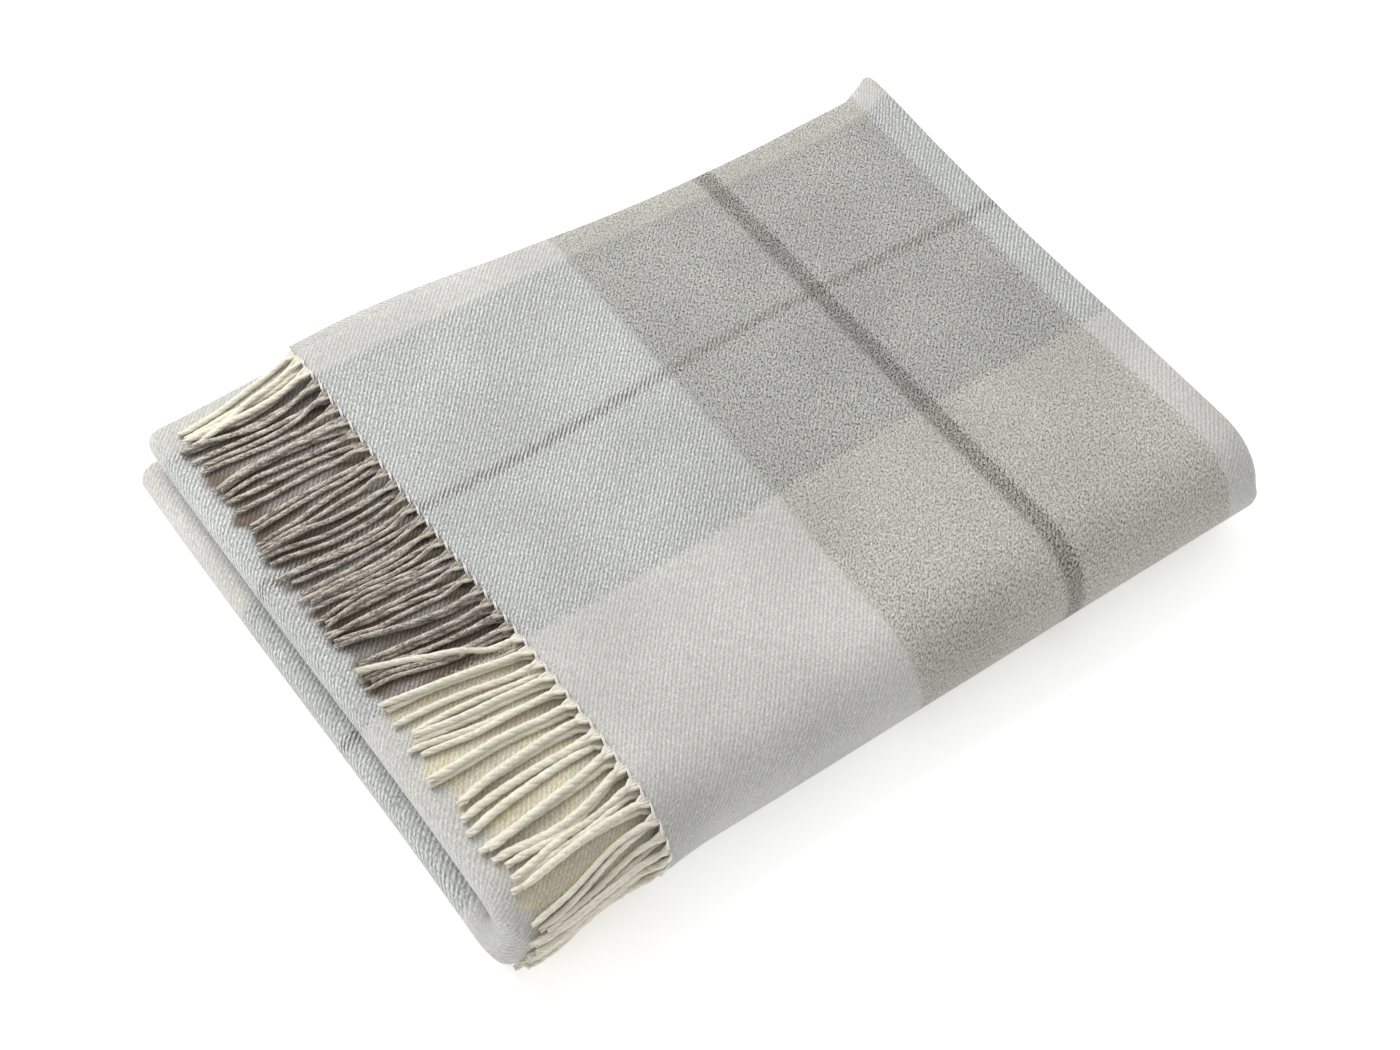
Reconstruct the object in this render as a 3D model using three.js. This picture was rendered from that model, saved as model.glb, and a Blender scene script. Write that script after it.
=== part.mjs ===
// A fringed wool throw, folded into a block sixteen layers thick.
//
// The throw is folded in half across its width and pleated into four passes along its length, and
// the block is then folded in half round its front edge. Each pass is two layers of cloth. The
// outer hem and its fringe come out on top of the left fold, run round the front and go on
// underneath. The inner hem and its fringe are shut between the two halves of the block.
//
// Millimetres, +Z up. X runs along the passes, from the fringe to the right-hand folds, and Y runs
// from the front edge to the far edges. The origin is at the middle of the underside.

import * as THREE from "three";

// Driving dimensions of the folded block.
const LENGTH = 422.8; // left folds to right folds
const DEPTH = 320; // front edge to the far edge of the lower half
const HEIGHT = 61;
const UPPER_FAR_INSET = 19.3; // the upper half stops this far short of the lower half
const PASSES = 4; // in each half of the block
const PASS_GAP = 0.5; // air between one pass and the next
const MIDDLE_GAP = 2; // air between the two halves

// Hems, measured from the left folds.
const OUTER_HEM_INSET = 82;
const INNER_HEM_INSET = 91.4;

// Fringe.
const TASSEL_PITCH = 8.2;
const TASSEL_DIAMETER = 4.2;
const TASSEL_LENGTH = 71;
const LENGTH_SPREAD = 2.5; // tassels are up to this much longer or shorter
const TASSEL_DROP = 1.8; // a tassel sinks this far from the hem onto the fold below it
const PRESSED_THICKNESS = 1.8; // of a row of tassels that lies under another row
const BAND = 3; // a row of tassels is joined by a band this wide beside the hem
const STITCH = 0.7; // thickness of the hemstitch thread
const CLEARANCE = 0.3; // between pieces that touch

// Warp colours of the outer layer, measured from its far edge.
const SELVEDGE_BAND = 17.7; // cream
const TAUPE_BAND = 176.8; // then taupe, and cream again beyond it

const HALF = HEIGHT / 2; // height of the middle plane, and the radius of the front edge
const PASS_PITCH = (HALF - MIDDLE_GAP / 2 + PASS_GAP) / PASSES;
const LEFT = -LENGTH / 2;
const RIGHT = LENGTH / 2;
const SPINE_Y = -DEPTH / 2 + HALF; // the front fold turns about this line
const LOWER_FAR_Y = DEPTH / 2;
const UPPER_FAR_Y = LOWER_FAR_Y - UPPER_FAR_INSET;
const OUTER_HEM_X = LEFT + OUTER_HEM_INSET;
const INNER_HEM_X = LEFT + INNER_HEM_INSET;

// Facets.
const WRAP_STEPS = 12; // round the front edge
const FOLD_STEPS = 8; // round the outside of each pleat
const CREASE_STEPS = 2; // round the inside of each pleat
const TASSEL_SIDES = 6;
const TASSEL_STEPS = 6;

const WOOL = { color: 0xcfc9c3, roughness: 0.95 };
const TAUPE = { color: 0x94877c, roughness: 0.95 };
const CREAM = { color: 0xe8e2d2, roughness: 0.95 };
const THREAD = { color: 0xeeebe4, roughness: 0.9 };

// Every layer of the block is placed by three numbers. x is the model's own x. h is the distance
// from the middle plane, towards the outside of the block. A station is the place along the way
// from the upper far edge, round the front, to the lower far edge: a y, and the angle turned.

function placed(x, h, station) {
  const y = station.y - h * Math.sin(station.angle);
  const z = HALF + h * Math.cos(station.angle);
  return [x, y, z];
}

// The station at a distance from the upper far edge, measured on the layer at h.
function stationAt(distance, h) {
  const flat = UPPER_FAR_Y - SPINE_Y;
  if (distance <= flat) return { y: UPPER_FAR_Y - distance, angle: 0 };
  const angle = (distance - flat) / h;
  if (angle <= Math.PI) return { y: SPINE_Y, angle };
  return { y: SPINE_Y + (angle - Math.PI) * h, angle: Math.PI };
}

function wholeWay() {
  const turns = Array.from({ length: WRAP_STEPS + 1 }, (_, i) => (Math.PI * i) / WRAP_STEPS);
  return [
    { y: UPPER_FAR_Y, angle: 0 },
    ...turns.map((angle) => ({ y: SPINE_Y, angle })),
    { y: LOWER_FAR_Y, angle: Math.PI },
  ];
}

// A closed solid through sections, each an outline in x and h standing at its station. Outlines
// run counterclockwise and all have the same number of points.
function loft(sections) {
  const count = sections[0].outline.length;
  const positions = sections.flatMap(({ outline, station }) =>
    outline.flatMap(([x, h]) => placed(x, h, station)),
  );
  const index = [];
  for (let s = 0; s + 1 < sections.length; s++) {
    for (let i = 0; i < count; i++) {
      const a = s * count + i;
      const b = s * count + ((i + 1) % count);
      index.push(a, b, a + count, b, b + count, a + count);
    }
  }
  const last = (sections.length - 1) * count;
  const corners = sections[0].outline.map(([x, h]) => new THREE.Vector2(x, h));
  for (const [a, b, c] of THREE.ShapeUtils.triangulateShape(corners, [])) {
    index.push(c, b, a, last + a, last + b, last + c);
  }
  const geometry = new THREE.BufferGeometry();
  geometry.setAttribute("position", new THREE.Float32BufferAttribute(positions, 3));
  geometry.setIndex(index);
  geometry.computeVertexNormals();
  return geometry;
}

function sweep(outline, stations) {
  return loft(stations.map((station) => ({ outline, station })));
}

function rectangle(x0, x1, h0, h1) {
  return [
    [x0, h0],
    [x1, h0],
    [x1, h1],
    [x0, h1],
  ];
}

function mesh(name, geometry, look) {
  const piece = new THREE.Mesh(geometry, new THREE.MeshStandardMaterial(look));
  piece.name = name;
  return piece;
}

// Height of the middle of the air gap below pass 4 (level 0), above it (level 1), and so on up to
// the outside of pass 1 (level 4).
function level(k) {
  return MIDDLE_GAP / 2 - PASS_GAP / 2 + k * PASS_PITCH;
}

// Points of a half turn, from degrees to degrees about the middle of a pleat.
function halfTurn(x, h, radius, from, to, steps) {
  return Array.from({ length: steps + 1 }, (_, i) => {
    const angle = THREE.MathUtils.degToRad(from + ((to - from) * i) / steps);
    return [x + radius * Math.cos(angle), h + radius * Math.sin(angle)];
  });
}

// The passes of one half as a single ribbon, from the inner hem to the outer hem and back along
// its other side. It turns at the right, at the left and at the right again.
function pleatedOutline() {
  const crease = PASS_GAP / 2;
  const fold = PASS_PITCH - crease;
  const rightX = RIGHT - fold;
  const leftX = LEFT + fold;
  return [
    [INNER_HEM_X, level(0) + crease],
    ...halfTurn(rightX, level(1), fold, -90, 90, FOLD_STEPS),
    ...halfTurn(leftX, level(2), crease, -90, -270, CREASE_STEPS),
    ...halfTurn(rightX, level(3), fold, -90, 90, FOLD_STEPS),
    [OUTER_HEM_X, level(4) - crease],
    [OUTER_HEM_X, level(3) + crease],
    ...halfTurn(rightX, level(3), crease, 90, -90, CREASE_STEPS),
    ...halfTurn(leftX, level(2), fold, 90, 270, FOLD_STEPS),
    ...halfTurn(rightX, level(1), crease, 90, -90, CREASE_STEPS),
    [INNER_HEM_X, level(1) - crease],
  ];
}

function cloth() {
  return mesh("throw_cloth", sweep(pleatedOutline(), wholeWay()), WOOL);
}

// One thread of hemstitching along the end of a hem, from one far edge round to the other.
function hemstitch(name, hemX, h) {
  const outline = rectangle(hemX - CLEARANCE - STITCH, hemX - CLEARANCE, h, h + STITCH);
  return mesh(name, sweep(outline, wholeWay()), THREAD);
}

function tasselLength(number) {
  return TASSEL_LENGTH + LENGTH_SPREAD * Math.sin(2.4 * number);
}

// A tassel starts at its own origin, drops onto the fold below and lies along -x.
function tasselGeometry(length) {
  const radius = TASSEL_DIAMETER / 2;
  const corners = Array.from({ length: TASSEL_SIDES }, (_, i) => {
    const angle = (2 * Math.PI * i) / TASSEL_SIDES;
    return new THREE.Vector2(radius * Math.cos(angle), radius * Math.sin(angle));
  });
  const path = new THREE.CatmullRomCurve3([
    new THREE.Vector3(0, 0, 0),
    new THREE.Vector3(-length / 6, 0, -TASSEL_DROP / 2),
    new THREE.Vector3(-length / 2, 0, -TASSEL_DROP),
    new THREE.Vector3(-length, 0, -TASSEL_DROP),
  ]);
  return new THREE.ExtrudeGeometry(new THREE.Shape(corners), {
    steps: TASSEL_STEPS,
    extrudePath: path,
    bevelEnabled: false,
  });
}

// Tassels of the outer layer, each a piece of its own, along the top and round the front.
function separateTassels(count) {
  return Array.from({ length: count }, (_, i) => {
    const distance = (i + 0.5) * TASSEL_PITCH;
    const isTaupe = distance > SELVEDGE_BAND && distance < SELVEDGE_BAND + TAUPE_BAND;
    const number = String(i + 1).padStart(2, "0");
    const tassel = mesh(`tassel_${number}`, tasselGeometry(tasselLength(i)), isTaupe ? TAUPE : CREAM);
    tassel.position.set(OUTER_HEM_X - FRINGE_START, 0, TASSEL_H);

    const station = stationAt(distance, TASSEL_H);
    const turned = new THREE.Group();
    turned.position.set(0, station.y, HALF);
    turned.rotation.x = station.angle;
    turned.add(tassel);
    return turned;
  });
}

// A row of tassels in one piece, joined by the band beside the hem. Its tassels stand at whole
// pitches plus an offset, as measured on the layer at radius.
function fringeRow(name, look, { hemX, low, high, radius, first, last, offset }) {
  const edge = hemX - FRINGE_START;
  const halfWidth = TASSEL_DIAMETER / 2 - CLEARANCE;
  const section = (distance, reach) => ({
    outline: rectangle(edge - reach, edge, low, high),
    station: stationAt(distance, radius),
  });
  const sections = [];
  for (let i = first; i < last; i++) {
    const middle = (i + offset) * TASSEL_PITCH;
    const start = middle - halfWidth;
    const end = middle + halfWidth;
    sections.push(
      section(start - CLEARANCE, BAND),
      section(start, tasselLength(i)),
      section(end, tasselLength(i)),
      section(end + CLEARANCE, BAND),
    );
  }
  return mesh(name, loft(sections), look);
}

// Heights of the outer hem's two rows: the second layer's tassels are pressed flat on the fold of
// pass 2, and the outer layer's tassels lie on them.
const PRESSED_LOW = level(3) - PASS_GAP / 2 + CLEARANCE;
const PRESSED_HIGH = PRESSED_LOW + PRESSED_THICKNESS;
const TASSEL_H = PRESSED_HIGH + 2 * CLEARANCE + TASSEL_DIAMETER / 2;
const FRINGE_START = STITCH + 2 * CLEARANCE; // from a hem to its tassels

function outerFringe() {
  const flatWays = UPPER_FAR_Y + LOWER_FAR_Y - 2 * SPINE_Y;
  const count = Math.floor((flatWays + Math.PI * TASSEL_H) / TASSEL_PITCH);
  const separate = Math.floor((UPPER_FAR_Y - SPINE_Y + Math.PI * TASSEL_H) / TASSEL_PITCH);
  const row = { hemX: OUTER_HEM_X, radius: TASSEL_H };
  const pressed = { low: PRESSED_LOW, high: PRESSED_HIGH, first: 0, last: count - 1, offset: 1 };
  const low = PRESSED_HIGH + CLEARANCE;
  const under = { low, high: HALF - CLEARANCE, first: separate, last: count, offset: 0.5 };
  return [
    ...separateTassels(separate),
    fringeRow("second_layer_fringe", TAUPE, { ...row, ...pressed }),
    fringeRow("underside_fringe", TAUPE, { ...row, ...under }),
    hemstitch("outer_hemstitch", OUTER_HEM_X, HALF - CLEARANCE / 2 - STITCH),
  ];
}

// Both layers' tassels at the inner hem lie together as one row, between the two halves.
function innerFringe() {
  const low = MIDDLE_GAP / 2 + CLEARANCE;
  const high = level(1) - PASS_GAP / 2 - STITCH - 2 * CLEARANCE;
  const radius = (low + high) / 2;
  const flatWays = UPPER_FAR_Y + LOWER_FAR_Y - 2 * SPINE_Y;
  const count = Math.floor((flatWays + Math.PI * radius) / TASSEL_PITCH);
  const row = { hemX: INNER_HEM_X, low, high, radius, first: 0, last: count, offset: 0.5 };
  return [
    fringeRow("inner_fringe", TAUPE, row),
    hemstitch("inner_hemstitch", INNER_HEM_X, level(1) - PASS_GAP / 2 - STITCH),
  ];
}

const group = new THREE.Group();
group.add(cloth(), ...outerFringe(), ...innerFringe());
export default group;
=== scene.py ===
"""A fringed wool throw in a large check, folded sixteen layers thick.

The whole throw is one sheet. A point of it has two cloth coordinates, in metres: u along the warp,
from the outer hem to the inner one, and v along the weft, from the selvedge of the outer layer to
the selvedge of the second layer. The folds are worked out one after another:

  across    folds the width in half, so that the sheet is a ribbon of two layers,
  pleat     lays the ribbon in four passes, one under another,
  wrap      folds that block in half round its front edge.

Between the folds a point is held in block coordinates: x as in the model, w the way from the upper
far edge round the front to the lower far edge, and h the distance out from the middle plane.
"""

import math

import bpy
import numpy as np
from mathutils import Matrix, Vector


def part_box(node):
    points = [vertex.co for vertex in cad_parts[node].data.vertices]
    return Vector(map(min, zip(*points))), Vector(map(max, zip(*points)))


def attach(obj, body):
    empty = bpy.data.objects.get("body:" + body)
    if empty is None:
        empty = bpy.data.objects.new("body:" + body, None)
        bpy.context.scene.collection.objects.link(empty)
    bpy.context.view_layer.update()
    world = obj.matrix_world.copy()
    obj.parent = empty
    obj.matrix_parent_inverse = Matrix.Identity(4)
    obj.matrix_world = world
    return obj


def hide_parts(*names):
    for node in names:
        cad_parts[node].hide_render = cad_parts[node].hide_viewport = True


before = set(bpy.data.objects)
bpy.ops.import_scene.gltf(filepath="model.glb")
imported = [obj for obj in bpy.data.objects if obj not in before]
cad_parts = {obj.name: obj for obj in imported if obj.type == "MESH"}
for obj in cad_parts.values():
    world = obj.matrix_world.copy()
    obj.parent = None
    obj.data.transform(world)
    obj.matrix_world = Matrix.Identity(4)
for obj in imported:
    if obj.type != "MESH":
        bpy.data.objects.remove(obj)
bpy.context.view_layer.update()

SEED = 11

# ---- The block, in metres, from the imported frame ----

CLOTH_LOW, CLOTH_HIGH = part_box("throw_cloth")
LAYERS = 16
LAYER = CLOTH_HIGH[2] / LAYERS  # from the middle of one layer to the middle of the next
PASS = 2 * LAYER
THICKNESS = 0.0031  # of the cloth
HALF = CLOTH_HIGH[2] / 2

CAD_CLEARANCE = 0.0003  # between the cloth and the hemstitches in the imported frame
OUTER_HEM_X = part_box("outer_hemstitch")[1][0] + CAD_CLEARANCE
INNER_HEM_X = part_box("inner_hemstitch")[1][0] + CAD_CLEARANCE


def tassel_y(number):
    low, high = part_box(f"tassel_{number:02d}")
    return (low[1] + high[1]) / 2


TASSEL_NAMES = sorted(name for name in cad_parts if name.startswith("tassel_"))
TASSEL_PITCH = tassel_y(1) - tassel_y(2)
UPPER_FAR_Y = tassel_y(1) + TASSEL_PITCH / 2
LOWER_FAR_Y = CLOTH_HIGH[1]
SPINE_Y = CLOTH_LOW[1] + HALF

# ---- Cloth coordinates ----

PLEAT_R = PASS / 2  # the middle of the ribbon turns on this radius
PLEAT_OUTSIDE = PLEAT_R + (LAYER + THICKNESS) / 2
RIGHT_X = CLOTH_HIGH[0] - PLEAT_OUTSIDE  # middles of the folds
LEFT_X = CLOTH_LOW[0] + PLEAT_OUTSIDE
PLEAT_TURN = math.pi * PLEAT_R
PASS_1 = RIGHT_X - OUTER_HEM_X
PASS_2 = RIGHT_X - LEFT_X
PASS_4 = RIGHT_X - INNER_HEM_X
CLOTH_LENGTH = PASS_1 + 2 * PASS_2 + PASS_4 + 3 * PLEAT_TURN

UPPER_WAY = UPPER_FAR_Y - SPINE_Y
WRAP_R = HALF - LAYER / 2  # the outermost layer keeps its length round the front
WRAP_WAY = math.pi * WRAP_R
HALF_TURN_R = LAYER / 2  # where the width is folded in half
WAY = UPPER_WAY + WRAP_WAY + LOWER_FAR_Y - THICKNESS / 2 - HALF_TURN_R - SPINE_Y
CLOTH_WIDTH = 2 * WAY + math.pi * HALF_TURN_R


def smooth(value, start, end):
    """0 up to start, 1 from end on, and a smooth step between them."""
    t = np.clip((value - start) / (end - start), 0, 1)
    return t * t * (3 - 2 * t)


def across(v):
    """The way w of a point across the width, and how far it is outside the ribbon's middle."""
    angle = np.clip((v - WAY) / HALF_TURN_R, 0, math.pi)
    over = np.maximum(v - WAY - math.pi * HALF_TURN_R, 0)
    w = np.minimum(v, WAY) + HALF_TURN_R * np.sin(angle) - over
    return w, HALF_TURN_R * np.cos(angle)


def pleat(s, offset):
    """x, h and the angle turned at s along the middle of the ribbon, at an offset from it."""
    ends = np.cumsum([PASS_1, PLEAT_TURN, PASS_2, PLEAT_TURN, PASS_2, PLEAT_TURN])
    turns = [np.clip((s - ends[i]) / PLEAT_R, 0, math.pi) for i in (0, 2, 4)]
    outer = PLEAT_R + offset
    inner = PLEAT_R - offset
    stretches = [
        (s < ends[0], OUTER_HEM_X + s, 3.5 * PASS + offset),
        (s < ends[1], RIGHT_X + outer * np.sin(turns[0]), 3 * PASS + outer * np.cos(turns[0])),
        (s < ends[2], RIGHT_X - (s - ends[1]), 2.5 * PASS - offset),
        (s < ends[3], LEFT_X - inner * np.sin(turns[1]), 2 * PASS + inner * np.cos(turns[1])),
        (s < ends[4], LEFT_X + (s - ends[3]), 1.5 * PASS + offset),
        (s < ends[5], RIGHT_X + outer * np.sin(turns[2]), PASS + outer * np.cos(turns[2])),
        (s >= ends[5], RIGHT_X - (s - ends[5]), 0.5 * PASS - offset),
    ]
    where = [stretch[0] for stretch in stretches]
    x = np.select(where, [stretch[1] for stretch in stretches])
    h = np.select(where, [stretch[2] for stretch in stretches])
    return x, h, turns[0] - turns[1] + turns[2]


def wrap(x, w, h):
    """Model coordinates of points given in block coordinates."""
    angle = np.clip((w - UPPER_WAY) / WRAP_R, 0, math.pi)
    beyond = np.maximum(w - UPPER_WAY - WRAP_WAY, 0)
    y = UPPER_FAR_Y - np.minimum(w, UPPER_WAY) + beyond - h * np.sin(angle)
    z = HALF + h * np.cos(angle)
    return np.stack([x, y, z], axis=-1)


# ---- How the layers and the block lie ----

DRIFT = 0.005  # the middle of the ribbon lies this much nearer the far edge than its ends do
POKE = 0.0075  # the second layer shows beyond the selvedge of the outer one, beside the outer hem
POKE_FADE = (0.02, 0.17)  # distances from the hem between which it stops showing
POKE_WIDTH = 0.25  # the second layer shifts over this much of its width
RAGGED = 0.0012  # how far the folded edges wander


def between(first, second, amount):
    """From first, where amount is 0, to second, where it is 1."""
    return first + (second - first) * amount


def wander(s, per_metre, start=0.0):
    """A folded edge's departure from a straight line, in a wave along the cloth."""
    return RAGGED * np.sin(per_metre * s + start)


def lie(s, v):
    """The way w and the offset of a point of the cloth, with layers that don't line up exactly."""
    w, offset = across(v)
    drift = wander(s, 23) - DRIFT * np.sin(math.pi * s / CLOTH_LENGTH) ** 2
    poke = POKE * (1 - smooth(s, *POKE_FADE)) + wander(s, 14, 1)
    return w + drift - poke * smooth(v, CLOTH_WIDTH - POKE_WIDTH, CLOTH_WIDTH), offset


LOBE_START = 0.150  # the left folds swell between these distances left of the origin
LOBE_FULL = 0.198
LOBE_IN = 0.0062  # how far they swell towards the middle plane,
LOBE_RISE = 0.0012  # upwards from the upper half,
LOBE_SAG = 0.0020  # and downwards from the lower half


def swell(x, w, h):
    """Lets the left folds swell into the space beyond both hems. Returns the new h."""
    amount = smooth(-x, LOBE_START, LOBE_FULL)
    underneath = smooth(w, UPPER_WAY, UPPER_WAY + WRAP_WAY)
    bottom = PASS  # the left folds turn between these heights
    top = 3 * PASS
    new_bottom = bottom - LOBE_IN * amount
    new_top = top + between(LOBE_RISE, LOBE_SAG, underneath) * amount
    below = h * new_bottom / bottom
    within = new_bottom + (h - bottom) * (new_top - new_bottom) / (top - bottom)
    above = h + new_top - top
    return np.select([h < bottom, h < top], [below, within], above)


UPPER_HALF = (0.022, 0.036)  # heights between which the lower half gives way to the upper one
UPPER_LEFT = (0.0084, 0.0024)  # the left folds stand in this far, in front and at the far edge
LOWER_LEFT = (0.0028, -0.0060)
RIGHT_OUT = 0.0046  # the right folds stand out this far,
FRONT_FLARE = 0.0040  # this much further near the front of the lower half,
FAR_FLARE = 0.0025  # and this much further near the far edge
HUMP = (-0.0010, 0.0085)  # the far edges stand out this far, on the right and on the left,
DIP = 0.0050  # this much less on the right,
PEAK = 0.0090  # and this much more at the right corner
LOWER_FAR_SHARE = 0.3  # of that is left in the lower half
FRONT_OUT = (0.0060, 0.0150)  # the front stands out this far, on the right and on the left


def stray(points):
    """The sides' departures from straight lines, the same for all layers at a place.

    The numbers given to smooth are places, in metres, between which each departure comes in.
    """
    x, y, z = points[..., 0], points[..., 1], points[..., 2]
    upper = smooth(z, *UPPER_HALF)
    upper_left = between(*UPPER_LEFT, smooth(y, -0.13, 0.12))
    lower_left = between(*LOWER_LEFT, smooth(y, -0.17, 0.17))
    left = between(lower_left, upper_left, upper) * smooth(-x, 0.05, 0.19)
    flare = FRONT_FLARE * smooth(-y, 0.12, 0.155) * (1 - upper) + FAR_FLARE * smooth(y, 0.08, 0.14)
    right = RIGHT_OUT * smooth(x, 0.08, 0.205) + flare * smooth(x, 0.15, 0.205)
    hump = between(*HUMP, smooth(-x, -0.08, 0.10)) * smooth(y, 0.06, 0.135)
    dip = DIP * smooth(x, -0.03, 0.10) * smooth(y, 0.112, 0.142)
    peak = PEAK * smooth(x, 0.186, 0.206) * smooth(y, 0.09, 0.14)
    far = (hump + peak - dip) * between(LOWER_FAR_SHARE, 1, upper)
    front = between(*FRONT_OUT, smooth(-x, 0.10, 0.19)) * smooth(-y, 0.08, 0.15)
    return np.stack([x + left + right, y + far - front, z], axis=-1)


# Waves in the upper surface: height, radians per metre along x and along y, and start.
WAVES = [(0.0011, 23, 11, 0.4), (0.0009, -17, 29, 1.9), (0.0003, 61, 47, 3.0)]
DROOP = 0.006  # of the far left corner
FLOOR_GAP = 0.0003


def settle(points):
    """Soft unevenness of the upper surface, which fades out downwards."""
    x, y, z = points[..., 0], points[..., 1], points[..., 2]
    waves = sum(size * np.sin(along * x + over * y + start) for size, along, over, start in WAVES)
    droop = DROOP * smooth(-x, 0.09, 0.21) * smooth(y, 0.05, 0.15)
    height = z + z / (2 * HALF) * (waves - droop)
    return np.stack([x, y, np.maximum(height, FLOOR_GAP)], axis=-1)


def place(x, w, h):
    """Model coordinates of points given in block coordinates, as the throw really lies."""
    return settle(stray(wrap(x, w, swell(x, w, h))))


# ---- Meshes ----


def spaced(stops, steps):
    """Lines between stops, with a step near the one given for each stretch."""
    lines = [stops[0]]
    for start, end, step in zip(stops, stops[1:], steps):
        count = max(1, round((end - start) / step))
        lines.extend(start + (end - start) * np.arange(1, count + 1) / count)
    return np.array(lines)


def make_object(name, vertices, faces, uvs=None):
    """A smooth object. The texture coordinates, one to each vertex, are its UV map "cloth"."""
    mesh = bpy.data.meshes.new(name)
    mesh.from_pydata(vertices.tolist(), [], faces)
    if uvs is not None:
        layer = mesh.uv_layers.new(name="cloth")
        corners = np.empty(len(mesh.loops), dtype=np.int64)
        mesh.loops.foreach_get("vertex_index", corners)
        layer.data.foreach_set("uv", uvs[corners].ravel())
    mesh.shade_smooth()
    mesh.update()
    obj = bpy.data.objects.new(name, mesh)
    bpy.context.scene.collection.objects.link(obj)
    return obj


def grid_faces(rows, columns, start=0):
    """The quads of a grid of vertices, the first of which is number start."""
    index = start + np.arange(rows * columns).reshape(rows, columns)
    quads = [index[:-1, :-1], index[:-1, 1:], index[1:, 1:], index[1:, :-1]]
    return np.stack(quads, axis=-1).reshape(-1, 4)


def rim_loop(rows, columns):
    """The vertices round a grid's edge, in order."""
    index = np.arange(rows * columns).reshape(rows, columns)
    return np.concatenate([index[0, :-1], index[:-1, -1], index[-1, :0:-1], index[:0:-1, 0]])


def thick_sheet(name, middle, half_thickness, uvs):
    """A closed sheet whose middle surface is a grid of points."""
    rows, columns = middle.shape[:2]
    along = np.gradient(middle, axis=1)
    over = np.gradient(middle, axis=0)
    normal = np.cross(over, along)
    normal /= np.linalg.norm(normal, axis=-1, keepdims=True)
    shift = normal * half_thickness[..., None]
    vertices = np.concatenate([(middle + shift).reshape(-1, 3), (middle - shift).reshape(-1, 3)])
    count = rows * columns
    front = grid_faces(rows, columns)
    back = grid_faces(rows, columns, count)
    rim = rim_loop(rows, columns)
    after = np.roll(rim, -1)
    side = np.stack([rim, after, after + count, rim + count], axis=-1)
    faces = np.concatenate([front[:, ::-1], back, side]).tolist()
    return make_object(name, vertices, faces, np.concatenate([uvs, uvs]))


EDGE_WIDTH = 0.004  # the cloth thins towards its edges over this width,
EDGE_SHARE = 0.55  # to this share of its thickness
EDGE_STEP = EDGE_WIDTH / 3
FLAT_STEP = 0.009
PLEAT_STEP = PLEAT_TURN / 10
WRAP_STEP = WRAP_WAY / 18
HALF_TURN_STEP = math.pi * HALF_TURN_R / 8


def cloth_lines():
    """Where the lines of the cloth's mesh run, along the cloth and across it."""
    ends = np.cumsum([0, PASS_1, PLEAT_TURN, PASS_2, PLEAT_TURN, PASS_2, PLEAT_TURN, PASS_4])
    stops = [0, EDGE_WIDTH, *ends[1:-1], ends[-1] - EDGE_WIDTH, ends[-1]]
    steps = [EDGE_STEP, *[FLAT_STEP, PLEAT_STEP] * 3, FLAT_STEP, EDGE_STEP]
    along = spaced(stops, steps)
    outer = [0, EDGE_WIDTH, UPPER_WAY, UPPER_WAY + WRAP_WAY, WAY]
    second = [CLOTH_WIDTH - stop for stop in reversed(outer)]
    steps = [EDGE_STEP, FLAT_STEP, WRAP_STEP, FLAT_STEP]
    return along, spaced(outer + second, [*steps, HALF_TURN_STEP, *reversed(steps)])


def make_cloth():
    along, width = cloth_lines()
    s, v = np.meshgrid(along, width)
    w, offset = lie(s, v)
    x, h, turned = pleat(s, offset)
    middle = place(x, w, h)
    to_edge = np.minimum.reduce([s, CLOTH_LENGTH - s, v, CLOTH_WIDTH - v])
    half_thickness = THICKNESS / 2 * between(EDGE_SHARE, 1, smooth(to_edge, 0, EDGE_WIDTH))
    uvs = np.stack([s + offset * turned, v], axis=-1).reshape(-1, 2)
    cloth = thick_sheet("woven_cloth", middle, half_thickness, uvs)
    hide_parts("throw_cloth")
    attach(cloth, "root")
    return cloth


# ---- Fringe ----

TASSEL_R = 0.00130
FRINGE_LENGTH = 0.071
LENGTH_SPREAD = 0.0042
STATIONS = 25  # where the rows of tassels are laid out, from hem to tips
GAP = 1.9 * TASSEL_R  # between the middles of neighbours, at least

YARN_R = 0.00088
YARN_OFFSET = 0.00040  # of each yarn's middle from the middle of its tassel
YARN_TURNS = [0.0, 1.1, math.pi, math.pi + 1.1]  # where the four yarns stand round it: two pairs
TWIST = 0.016  # length of one full turn
CREAM_FULLNESS = 1.35  # the cream yarns are this much thicker than the taupe ones
ROOT_PITCH = 0.0014  # the yarns fan out to this spacing at the hem
ROOT_CLOSING = (0.001, 0.008)  # and come together between these distances from it
ROOT_INSIDE = 0.0006  # the yarns start this far inside the hem
ROOT_THINNER = 0.2
TIP_LENGTH = 0.007
TIP_THINNER = 0.5
TIP_LOOSER = 0.5
YARN_SIDES = 6

# Along a yarn its rings are this far apart.
SHOWN_STEP = 0.0011
SECOND_STEP = 0.0017
UNDERSIDE_STEP = 0.0022
INNER_STEP = 0.0032

LOBE_TOP = 2.5 * PASS + (LAYER + THICKNESS) / 2  # the cloth that the outer hem's tassels lie on
OUTER_H = 3.5 * PASS + LAYER / 2  # middles of the outer and the second layer at the outer hem
SECOND_H = 3.5 * PASS - LAYER / 2
INNER_H = 0.5 * PASS - LAYER / 2  # and at the inner hem
INNER_SECOND_H = 0.5 * PASS + LAYER / 2

SELVEDGE_BAND = 0.0177  # cream, then taupe and cream bands of equal width
WARP_BAND = 0.1768


def eased_noise(rng, count, width):
    """Random numbers that change gradually from one tassel to the next."""
    kernel = np.hanning(width + 2)[1:-1]
    return np.convolve(rng.normal(size=count + width - 1), kernel / kernel.sum(), "valid")


SPREAD_ROUNDS = 30


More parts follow.
